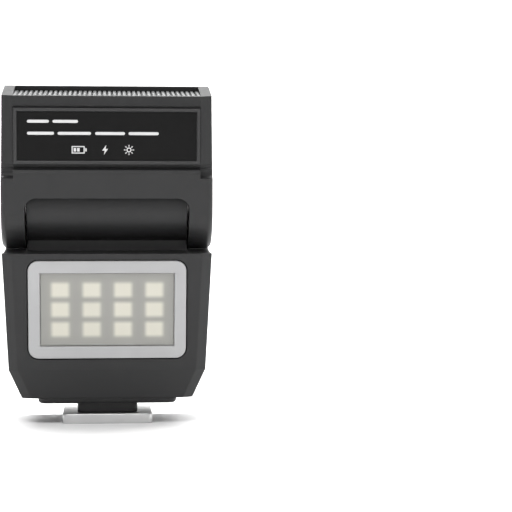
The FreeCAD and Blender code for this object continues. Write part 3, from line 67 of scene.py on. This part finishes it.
class Nodes:
    """A material under construction: short calls for its shader nodes."""

    MIX_FACTOR, MIX_FIRST, MIX_SECOND, MIX_RESULT = 0, 6, 7, 2  # a Mix node's colour sockets

    def __init__(self, name):
        self.material = bpy.data.materials.new(name)
        self.material.use_nodes = True
        self.tree = self.material.node_tree
        self.shader = self.tree.nodes["Principled BSDF"]
        self.coords = self.tree.nodes.new("ShaderNodeTexCoord").outputs["Object"]

    @classmethod
    def reopen(cls, material):
        """Goes on with a material made before."""
        again = cls.__new__(cls)
        again.material = material
        again.tree = material.node_tree
        again.shader = again.tree.nodes["Principled BSDF"]
        source = next(item for item in again.tree.nodes if item.type == "TEX_COORD")
        again.coords = source.outputs["Object"]
        return again

    def add(self, kind, inputs=None, **props):
        item = self.tree.nodes.new(kind)
        for key, value in props.items():
            setattr(item, key, value)
        for key, value in (inputs or {}).items():
            self.feed(item, key, value)
        return item

    def feed(self, item, key, value):
        if isinstance(value, bpy.types.NodeSocket):
            self.tree.links.new(value, item.inputs[key])
        else:
            item.inputs[key].default_value = value

    def set(self, **values):
        """Sets or links the shader's sockets: base_color stands for Base Color."""
        for key, value in values.items():
            self.feed(self.shader, key.replace("_", " ").title().replace("Ior", "IOR"), value)

    def noise(self, scale, detail=3.0, vector=None):
        inputs = {"Scale": scale, "Detail": detail, "Vector": vector or self.coords}
        return self.add("ShaderNodeTexNoise", inputs).outputs["Fac"]

    def math(self, operation, *values):
        item = self.add("ShaderNodeMath", operation=operation)
        for index, value in enumerate(values):
            self.feed(item, index, value)
        return item.outputs[0]

    def spread(self, value, low, high):
        """Takes a 0 to 1 value to a range."""
        item = self.add("ShaderNodeMapRange", {"Value": value, "To Min": low, "To Max": high})
        return item.outputs["Result"]

    def rise(self, value, start, end, **props):
        """Goes from 0 where the value is start to 1 where it is end."""
        inputs = {"Value": value, "From Min": start, "From Max": end}
        return self.add("ShaderNodeMapRange", inputs, **props).outputs["Result"]

    def blend(self, factor, first, second):
        item = self.add("ShaderNodeMix", data_type="RGBA")
        self.feed(item, self.MIX_FACTOR, factor)
        self.feed(item, self.MIX_FIRST, first)
        self.feed(item, self.MIX_SECOND, second)
        return item.outputs[self.MIX_RESULT]

    def bump(self, height, strength, distance, normal=None):
        inputs = {"Height": height, "Strength": strength, "Distance": distance}
        if normal is not None:
            inputs["Normal"] = normal
        return self.add("ShaderNodeBump", inputs).outputs["Normal"]


def grey(level):
    return (level, level, level, 1.0)


def scaled(colour, factor):
    """A colour made lighter or darker."""
    return tuple(min(1.0, channel * factor) for channel in colour[:3]) + (1.0,)


def leaning_coordinates(m, origin, lean):
    """Coordinates along a leaning face, measured from a point on it."""
    mapping = m.add("ShaderNodeMapping", {"Vector": m.coords}, vector_type="TEXTURE")
    mapping.inputs["Location"].default_value = origin
    mapping.inputs["Rotation"].default_value = (lean, 0.0, 0.0)
    return m.add("ShaderNodeSeparateXYZ", {"Vector": mapping.outputs["Vector"]}).outputs


# ---- materials -------------------------------------------------------------------------------

BLACK = (0.0135, 0.0135, 0.014, 1.0)
CASE_FINISH = {"colour": BLACK, "roughness": 0.47, "grain": 0.8, "shine": 0.32}
GRAIN_SIZE = 0.16 * MM


def moulded_plastic(name, colour, roughness, grain=0.5, shine=0.5):
    """Satin moulded plastic with a fine spark-eroded grain and faint mottling."""
    m = Nodes(name)
    mottle = m.noise(scale=120.0, detail=4.0)
    m.set(base_color=m.blend(mottle, scaled(colour, 0.92), scaled(colour, 1.10)))
    patches = m.noise(scale=420.0)
    m.set(roughness=m.spread(patches, roughness - 0.05, roughness + 0.05))
    grains = m.add("ShaderNodeTexVoronoi", {"Scale": 1.0 / GRAIN_SIZE, "Vector": m.coords},
                   feature="SMOOTH_F1").outputs["Distance"]
    waves = m.noise(scale=90.0, detail=2.0)
    uneven = m.bump(waves, strength=0.15, distance=0.05 * MM)
    m.set(normal=m.bump(grains, strength=grain * 0.35, distance=0.012 * MM, normal=uneven))
    m.set(specular_ior_level=shine)
    return m.material


def head_finish_with_seam_shade(name):
    """The case's plastic, with painted shade on the seam where the head's two shells meet."""
    material = moulded_plastic(name, **CASE_FINISH)
    m = Nodes.reopen(material)
    away = m.math("ABSOLUTE", leaning_coordinates(m, PIVOT, HEAD_LEAN)["Y"])
    # painted shade: a near-black, dull line along the seam between the shells
    painted_gap_shade = m.rise(away, 0.1 * MM, 0.05 * MM)
    m.set(specular_ior_level=m.spread(painted_gap_shade, CASE_FINISH["shine"], 0.03))
    plastic = m.shader.inputs["Base Color"].links[0].from_socket
    m.set(base_color=m.blend(painted_gap_shade, plastic, grey(0.001)))
    return material


def label_finish(name):
    """The case's plastic on the raised rim, and a darker, duller floor inside it."""
    material = moulded_plastic(name, BLACK, roughness=0.42, grain=0.3, shine=0.4)
    m = Nodes.reopen(material)
    depth = leaning_coordinates(m, middle("label_plate"), LABEL_LEAN)["Y"]
    floor = m.rise(depth, -0.45 * MM, -0.25 * MM)
    m.set(specular_ior_level=m.spread(floor, 0.5, 0.12))
    rim_colour = m.shader.inputs["Base Color"].links[0].from_socket
    m.set(base_color=m.blend(floor, rim_colour, grey(0.004)))
    return material


def brushed_metal(name, colour, roughness, across=(1.0, 30.0, 1.0)):
    """Metal with fine brush lines and a little tarnish."""
    m = Nodes(name)
    stretched = m.add("ShaderNodeMapping", {"Vector": m.coords, "Scale": across}).outputs["Vector"]
    lines = m.noise(scale=900.0, detail=4.0, vector=stretched)
    stain = m.noise(scale=160.0)
    m.set(base_color=m.blend(stain, scaled(colour, 0.88), colour))
    m.set(roughness=m.spread(lines, roughness - 0.08, roughness + 0.08))
    m.set(normal=m.bump(lines, strength=0.25, distance=0.01 * MM))
    m.set(metallic=1.0)
    return m.material


def soft_block(m, value, centre, half_size, blur):
    """1 within a stretch around a centre and 0 outside it, with a soft edge."""
    away = m.math("ABSOLUTE", m.math("SUBTRACT", value, centre))
    return m.rise(away, half_size + blur, half_size - blur, interpolation_type="SMOOTHSTEP")


def soft_row(m, value, centres, half_size, blur):
    """Several such stretches side by side."""
    total = soft_block(m, value, centres[0], half_size, blur)
    for centre in centres[1:]:
        total = m.math("MAXIMUM", total, soft_block(m, value, centre, half_size, blur))
    return total


LED_PITCH_ACROSS, LED_PITCH_UP = 6.35, 4.1  # the part's own LED spacing, in millimetres
LED_COLUMNS = (-1.5, -0.5, 0.5, 1.5)
LED_ROWS = (-1, 0, 1)


def painted_led_squares(m, places, half_size, blur):
    """A soft painted square in front of each LED. Sizes are across and up, in millimetres."""
    columns = [step * LED_PITCH_ACROSS * MM for step in LED_COLUMNS]
    rows = [step * LED_PITCH_UP * MM for step in LED_ROWS]
    across = soft_row(m, places["X"], columns, half_size[0] * MM, blur[0] * MM)
    up = soft_row(m, places["Z"], rows, half_size[1] * MM, blur[1] * MM)
    return m.math("MULTIPLY", across, up)


def diffuser_with_painted_leds(name):
    """Frosted window, with a soft cream square painted where each LED behind it shows through, and a painted glow
    around each.
    """
    ground = (0.27, 0.268, 0.25, 1.0)
    painted_glow_colour = (0.36, 0.352, 0.31, 1.0)
    cream = (0.56, 0.545, 0.47, 1.0)
    m = Nodes(name)
    places = leaning_coordinates(m, middle("led_emitters"), CASE_LEAN)
    # painted view of the LEDs through the frost, with a wider painted glow around each
    painted_led_view = painted_led_squares(m, places, half_size=(1.75, 1.45), blur=(0.55, 0.5))
    painted_glow_reach = painted_led_squares(m, places, half_size=(2.1, 1.9), blur=(1.0, 0.9))
    painted_glow = m.math("MULTIPLY", painted_glow_reach, 0.45)
    m.set(base_color=m.blend(painted_led_view, m.blend(painted_glow, ground, painted_glow_colour), cream))
    frost = m.noise(scale=3500.0, detail=2.0)
    m.set(roughness=m.spread(frost, 0.34, 0.46))
    m.set(normal=m.bump(frost, strength=0.12, distance=0.01 * MM))
    m.set(transmission_weight=0.08)
    m.set(subsurface_weight=0.15, subsurface_scale=1.0)
    m.set(subsurface_radius=(0.6 * MM, 0.6 * MM, 0.5 * MM))
    return m.material


def clear_plastic(name, tint, roughness, clearness):
    """Clear moulded plastic with flow waves."""
    m = Nodes(name)
    waves = m.noise(scale=260.0, detail=2.0)
    m.set(base_color=m.blend(waves, tint, scaled(tint, 1.2)))
    m.set(roughness=m.spread(waves, roughness - 0.03, roughness + 0.03))
    m.set(normal=m.bump(waves, strength=0.1, distance=0.02 * MM))
    m.set(transmission_weight=clearness, ior=1.49)
    return m.material


def circuit_board(name, mask, copper):
    """Solder mask over faint traces."""
    m = Nodes(name)
    traces = m.add("ShaderNodeTexBrick", {"Vector": m.coords, "Scale": 220.0, "Color1": mask,
                                          "Color2": mask, "Mortar": copper,
                                          "Mortar Size": 0.02}).outputs["Color"]
    spots = m.noise(scale=500.0, detail=2.0)
    m.set(base_color=traces, roughness=m.spread(spots, 0.3, 0.45))
    m.set(normal=m.bump(spots, strength=0.2, distance=0.02 * MM))
    return m.material


def wound_wire(name, colour):
    """Enamelled wire wound along X, with painted shade in the grooves between turns."""
    m = Nodes(name)
    turns = m.add("ShaderNodeTexWave", {"Vector": m.coords, "Scale": 900.0, "Distortion": 0.4},
                  bands_direction="X").outputs["Fac"]
    # painted shade: the grooves between turns are coloured darker
    m.set(base_color=m.blend(turns, scaled(colour, 0.4), colour))
    m.set(roughness=m.spread(turns, 0.45, 0.25))
    m.set(normal=m.bump(turns, strength=0.6, distance=0.1 * MM))
    m.set(metallic=0.6)
    return m.material


def printed_ink(name):
    """Pale printed ink, a little worn."""
    m = Nodes(name)
    wear = m.noise(scale=900.0)
    m.set(base_color=m.blend(wear, grey(0.5), grey(0.6)))
    m.set(roughness=m.spread(wear, 0.45, 0.6))
    return m.material


def plain_material(name, level, roughness):
    """A matt grey with a trace of cloud, for the floor."""
    m = Nodes(name)
    cloud = m.noise(scale=3.0, detail=2.0)
    m.set(base_color=m.blend(cloud, grey(level * 0.99), grey(level)))
    m.set(roughness=roughness)
    return m.material


MATERIALS = {
    "case_plastic": moulded_plastic("case_plastic_look", **CASE_FINISH),
    "label_plastic": label_finish("label_plastic_look"),
    "bezel_plastic": moulded_plastic("bezel_plastic_look", (0.33, 0.33, 0.334, 1.0), 0.36, 0.25),
    "white_plastic": moulded_plastic("white_plastic_look", (0.8, 0.8, 0.78, 1.0), 0.5, 0.3),
    "diffuser": diffuser_with_painted_leds("diffuser_look"),
    "lens_plastic": clear_plastic("lens_plastic_look", (0.11, 0.114, 0.114, 1.0), 0.42, 0.4),
    "tube_glass": clear_plastic("tube_glass_look", (0.9, 0.95, 0.95, 1.0), 0.06, 0.9),
    "led_resin": moulded_plastic("led_resin_look", (0.85, 0.76, 0.45, 1.0), 0.3, 0.1),
    "circuit": circuit_board("circuit_look", (0.02, 0.12, 0.06, 1.0), (0.05, 0.2, 0.1, 1.0)),
    "battery_wrap": brushed_metal("battery_wrap_look", (0.6, 0.6, 0.62, 1.0), 0.4),
    "ferrite": moulded_plastic("ferrite_look", (0.06, 0.06, 0.062, 1.0), 0.6, 0.9),
    "capacitor_can": moulded_plastic("capacitor_can_look", (0.03, 0.03, 0.06, 1.0), 0.25, 0.1),
    "copper_coil": wound_wire("copper_coil_look", (0.6, 0.24, 0.1, 1.0)),
    "reflector": brushed_metal("reflector_look", (0.88, 0.88, 0.87, 1.0), 0.2),
    "screw_steel": brushed_metal("screw_steel_look", (0.16, 0.16, 0.165, 1.0), 0.38),
    "axle_steel": brushed_metal("axle_steel_look", (0.6, 0.6, 0.6, 1.0), 0.3),
    "socket_steel": brushed_metal("socket_steel_look", (0.55, 0.55, 0.56, 1.0), 0.3),
    "plate_metal": brushed_metal("plate_metal_look", (0.60, 0.60, 0.60, 1.0), 0.4,
                                 across=(1.0, 40.0, 1.0)),
    "contact_metal": brushed_metal("contact_metal_look", (0.75, 0.66, 0.42, 1.0), 0.25),
}
INK = printed_ink("label_ink_look")
HEAD_SHELL = head_finish_with_seam_shade("head_shell_look")


def dress_nodes():
    """Gives each CAD piece the look of its material slot. The head's shells have their own."""
    for entry in frame["record"]["subparts"]:
        thing = NODES[entry["node"]]
        slot_look = MATERIALS[entry["material_slot"]]
        thing.data.materials.clear()
        thing.data.materials.append(HEAD_SHELL if entry["node"] in HEAD_SHELLS else slot_look)


# ---- edges -----------------------------------------------------------------------------------

EDGE_ROUNDS = {  # width of each piece's edge rounds, in millimetres
    "body_front_shell": 0.2, "body_rear_shell": 0.2, "head_front_shell": 0.2,
    "head_rear_shell": 0.2, "label_plate": 0.1, "led_bezel": 0.18, "hinge_cap_left": 0.16,
    "hinge_cap_right": 0.16, "base_tray": 0.12, "foot_block": 0.14, "foot_plate": 0.2,
    "power_button": 0.06, "led_diffuser": 0.06, "fresnel_lens": 0.03, "case_screws": 0.05,
    "foot_screws": 0.05, "charging_socket": 0.05, "battery": 0.3, "transformer": 0.2,
    "main_capacitor": 0.3,
}
CROWDED = HEAD_SHELLS  # their corners are too tight for a full round
WELD_DISTANCE = 0.001 * MM
FLAT_ANGLE = math.radians(1.0)
SHARP_ANGLE = math.radians(26)
ROUND_SEGMENTS = 2


def round_the_edges():
    """Small moulded rounds on the sharp edges, as modifiers on the CAD pieces."""
    for name, width in EDGE_ROUNDS.items():
        thing = NODES[name]
        weld = thing.modifiers.new("weld", "WELD")
        weld.merge_threshold = WELD_DISTANCE
        flat = thing.modifiers.new("whole_faces", "DECIMATE")
        flat.decimate_type = "DISSOLVE"
        flat.angle_limit = FLAT_ANGLE
        bevel = thing.modifiers.new("edge_round", "BEVEL")
        bevel.width = width * MM
        bevel.segments = ROUND_SEGMENTS
        bevel.limit_method = "ANGLE"
        bevel.use_clamp_overlap = name in CROWDED
        bevel.angle_limit = SHARP_ANGLE
        bevel.harden_normals = True
        normals = thing.modifiers.new("even_normals", "WEIGHTED_NORMAL")
        normals.keep_sharp = True


# ---- print on the label ----------------------------------------------------------------------
# Outlines are in millimetres, across and up from the label's middle.

PRINT_LINES = (  # left end, right end and height of each bar
    (-16.0, -11.6, 2.95), (-10.9, -5.8, 2.95),
    (-16.0, -10.6, 0.55), (-9.9, -3.2, 0.55), (-2.4, 3.6, 0.55), (4.3, 10.4, 0.55),
)
PRINT_LINE_WIDTH = 0.6
SIGNS_UP = -2.75
BATTERY_ACROSS, FLASH_ACROSS, LAMP_ACROSS = -5.6, -0.4, 4.4
PRINT_ABOVE_MIDDLE = 0.2 * MM
PRINT_THICKNESS = 0.012 * MM


def dash(left, right, up):
    """A bar with round ends."""
    radius = PRINT_LINE_WIDTH / 2
    outline = []
    for centre, start in ((right - radius, -90), (left + radius, 90)):
        for step in range(7):
            angle = math.radians(start + 30 * step)
            outline.append((centre + radius * math.cos(angle), up + radius * math.sin(angle)))
    return [outline]


def ring(across, up, radius, width):
    """A ring as a run of four-sided pieces."""
    pieces = []
    turns = [math.tau * step / 32 for step in range(33)]
    for first, last in zip(turns, turns[1:]):
        corners = ((first, radius - width), (first, radius), (last, radius), (last, radius - width))
        pieces.append([(across + reach * math.cos(angle), up + reach * math.sin(angle))
                       for angle, reach in corners])
    return pieces


def bar(x0, x1, z0, z1):
    return [[(x0, z0), (x1, z0), (x1, z1), (x0, z1)]]


def battery_sign(across, up):
    """A cell's outline with its tip and two charge bars."""
    left, right, low, high, line = across - 1.5, across + 1.1, up - 0.75, up + 0.75, 0.2
    return (bar(left, right, low, low + line) + bar(left, right, high - line, high)
            + bar(left, left + line, low + line, high - line)
            + bar(right - line, right, low + line, high - line)
            + bar(right + 0.12, right + 0.4, up - 0.32, up + 0.32)
            + bar(left + 0.4, left + 0.9, low + 0.4, high - 0.4)
            + bar(left + 1.1, left + 1.6, low + 0.4, high - 0.4))


def flash_sign(across, up):
    """A zigzag bolt."""
    shape = [(0.25, 1.0), (-0.6, -0.15), (-0.08, -0.15), (-0.25, -1.0), (0.6, 0.2), (0.08, 0.2)]
    return [[(across + x, up + z) for x, z in shape]]


def lamp_sign(across, up):
    """A ring with eight rays."""
    ray_count, half_width, ray_start, ray_end = 8, 0.09, 0.68, 1.02
    pieces = ring(across, up, radius=0.5, width=0.2)
    for step in range(ray_count):
        angle = math.tau * step / ray_count
        along = Vector((math.cos(angle), math.sin(angle)))
        side = Vector((-along.y, along.x)) * half_width
        near, far = along * ray_start, along * ray_end
        corners = [near - side, far - side, far + side, near + side]
        pieces.append([(across + corner.x, up + corner.y) for corner in corners])
    return pieces


def make_label_print():
    """Bars where lines of print stand, and three plain signs: battery, flash and lamp."""
    shapes = [outline for line in PRINT_LINES for outline in dash(*line)]
    shapes += battery_sign(BATTERY_ACROSS, SIGNS_UP)
    shapes += flash_sign(FLASH_ACROSS, SIGNS_UP)
    shapes += lamp_sign(LAMP_ACROSS, SIGNS_UP)
    heart = middle("label_plate")
    turn = Matrix.Rotation(LABEL_LEAN, 4, "X")
    sheet = bmesh.new()
    for outline in shapes:
        front, back = [], []
        for x, z in outline:
            place = Vector((x * MM, -PRINT_ABOVE_MIDDLE, z * MM))
            back.append(sheet.verts.new(heart + turn @ place))
            lifted = place - Vector((0.0, PRINT_THICKNESS, 0.0))
            front.append(sheet.verts.new(heart + turn @ lifted))
        sheet.faces.new(front)
        count = len(outline)
        for index in range(count):
            following = (index + 1) % count
            sheet.faces.new([front[index], back[index], back[following], front[following]])
        sheet.faces.new(list(reversed(back)))
    bmesh.ops.recalc_face_normals(sheet, faces=sheet.faces)
    mesh = bpy.data.meshes.new("label_print")
    sheet.to_mesh(mesh)
    sheet.free()
    printing = bpy.data.objects.new("label_print", mesh)
    printing.data.materials.append(INK)
    bpy.context.scene.collection.objects.link(printing)
    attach(printing, "head")


# ---- stage, light and camera (metres, degrees and watts) -------------------------------------

FLOOR_FRONT, WALL_BACK, WALL_TOP, FLOOR_HALF_WIDTH = -2.5, 1.6, 1.5, 3.0
SWEEP_RADIUS, SWEEP_STEPS = 0.35, 12
AIM = (0.0, 0.0, 0.035)
LIGHTS = (  # name, place, what it points at, size, power
    ("key", (-0.15, -0.55, 0.75), AIM, (0.5, 0.35), 4.4),
    ("side", (0.7, -0.25, 0.35), AIM, (0.3, 0.6), 1.5),
    ("top", (0.0, 0.15, 0.8), AIM, (0.8, 0.5), 3.6),
    ("backdrop", (0.3, 0.5, 1.4), (0.3, 1.4, 0.1), (2.4, 0.6), 60.0),
)
CAMERA_PLACE = (0.0, -0.368, 0.042)
CAMERA_DOWN, CAMERA_RIGHT = 1.19, 4.9
SENSOR_WIDTH, FOCAL_LENGTH = 36.0, 122.0  # millimetres


def make_floor():
    """A pale sweep: a floor that turns up into a wall behind the flash."""
    bend = WALL_BACK - SWEEP_RADIUS
    profile = [(FLOOR_FRONT, 0.0), (bend, 0.0)]
    for step in range(1, SWEEP_STEPS + 1):
        angle = math.pi / 2 * step / SWEEP_STEPS
        profile.append((bend + SWEEP_RADIUS * math.sin(angle),
                        SWEEP_RADIUS - SWEEP_RADIUS * math.cos(angle)))
    profile.append((WALL_BACK, WALL_TOP))
    sheet = bmesh.new()
    rows = [[sheet.verts.new((x, y, z)) for y, z in profile]
            for x in (-FLOOR_HALF_WIDTH, FLOOR_HALF_WIDTH)]
    for index in range(len(profile) - 1):
        sheet.faces.new([rows[0][index], rows[1][index], rows[1][index + 1], rows[0][index + 1]])
    mesh = bpy.data.meshes.new("floor")
    sheet.to_mesh(mesh)
    sheet.free()
    mesh.shade_smooth()
    floor = bpy.data.objects.new("floor", mesh)
    floor.data.materials.append(plain_material("floor_look", level=0.9, roughness=0.8))
    bpy.context.scene.collection.objects.link(floor)


def area_light(name, place, target, size, power):
    data = bpy.data.lights.new(name, "AREA")
    data.shape = "RECTANGLE"
    data.size, data.size_y = size
    data.energy = power
    light = bpy.data.objects.new(name, data)
    light.location = place
    light.rotation_euler = (Vector(target) - Vector(place)).to_track_quat("-Z", "Y").to_euler()
    bpy.context.scene.collection.objects.link(light)


def make_light():
    """A white room, brightest at the horizon, and four soft lights."""
    world = bpy.data.worlds.new("studio")
    world.use_nodes = True
    tree = world.node_tree
    sky = tree.nodes.new("ShaderNodeTexCoord").outputs["Generated"]
    height = tree.nodes.new("ShaderNodeSeparateXYZ")
    tree.links.new(sky, height.inputs["Vector"])
    band = tree.nodes.new("ShaderNodeMapRange")
    band.interpolation_type = "SMOOTHSTEP"
    for key, value in (("From Min", 0.08), ("From Max", 0.4), ("To Min", 1.0), ("To Max", 0.22)):
        band.inputs[key].default_value = value
    tree.links.new(height.outputs["Z"], band.inputs["Value"])
    tree.links.new(band.outputs["Result"], tree.nodes["Background"].inputs["Strength"])
    tree.nodes["Background"].inputs["Color"].default_value = (1.0, 1.0, 1.0, 1.0)
    bpy.context.scene.world = world
    for light in LIGHTS:
        area_light(*light)


def make_camera():
    """Near the flash's own height, aimed past its right side: the flash is left in the view."""
    data = bpy.data.cameras.new("camera")
    data.sensor_width = SENSOR_WIDTH
    data.lens = FOCAL_LENGTH
    data.clip_start = 0.01
    camera = bpy.data.objects.new("camera", data)
    camera.location = CAMERA_PLACE
    camera.rotation_euler = (math.radians(90 - CAMERA_DOWN), 0.0, math.radians(-CAMERA_RIGHT))
    bpy.context.scene.collection.objects.link(camera)
    bpy.context.scene.camera = camera


dress_nodes()
round_the_edges()
make_label_print()
make_floor()
make_light()
make_camera()
bpy.context.scene.view_settings.view_transform = "Standard"

bpy.context.view_layer.update()
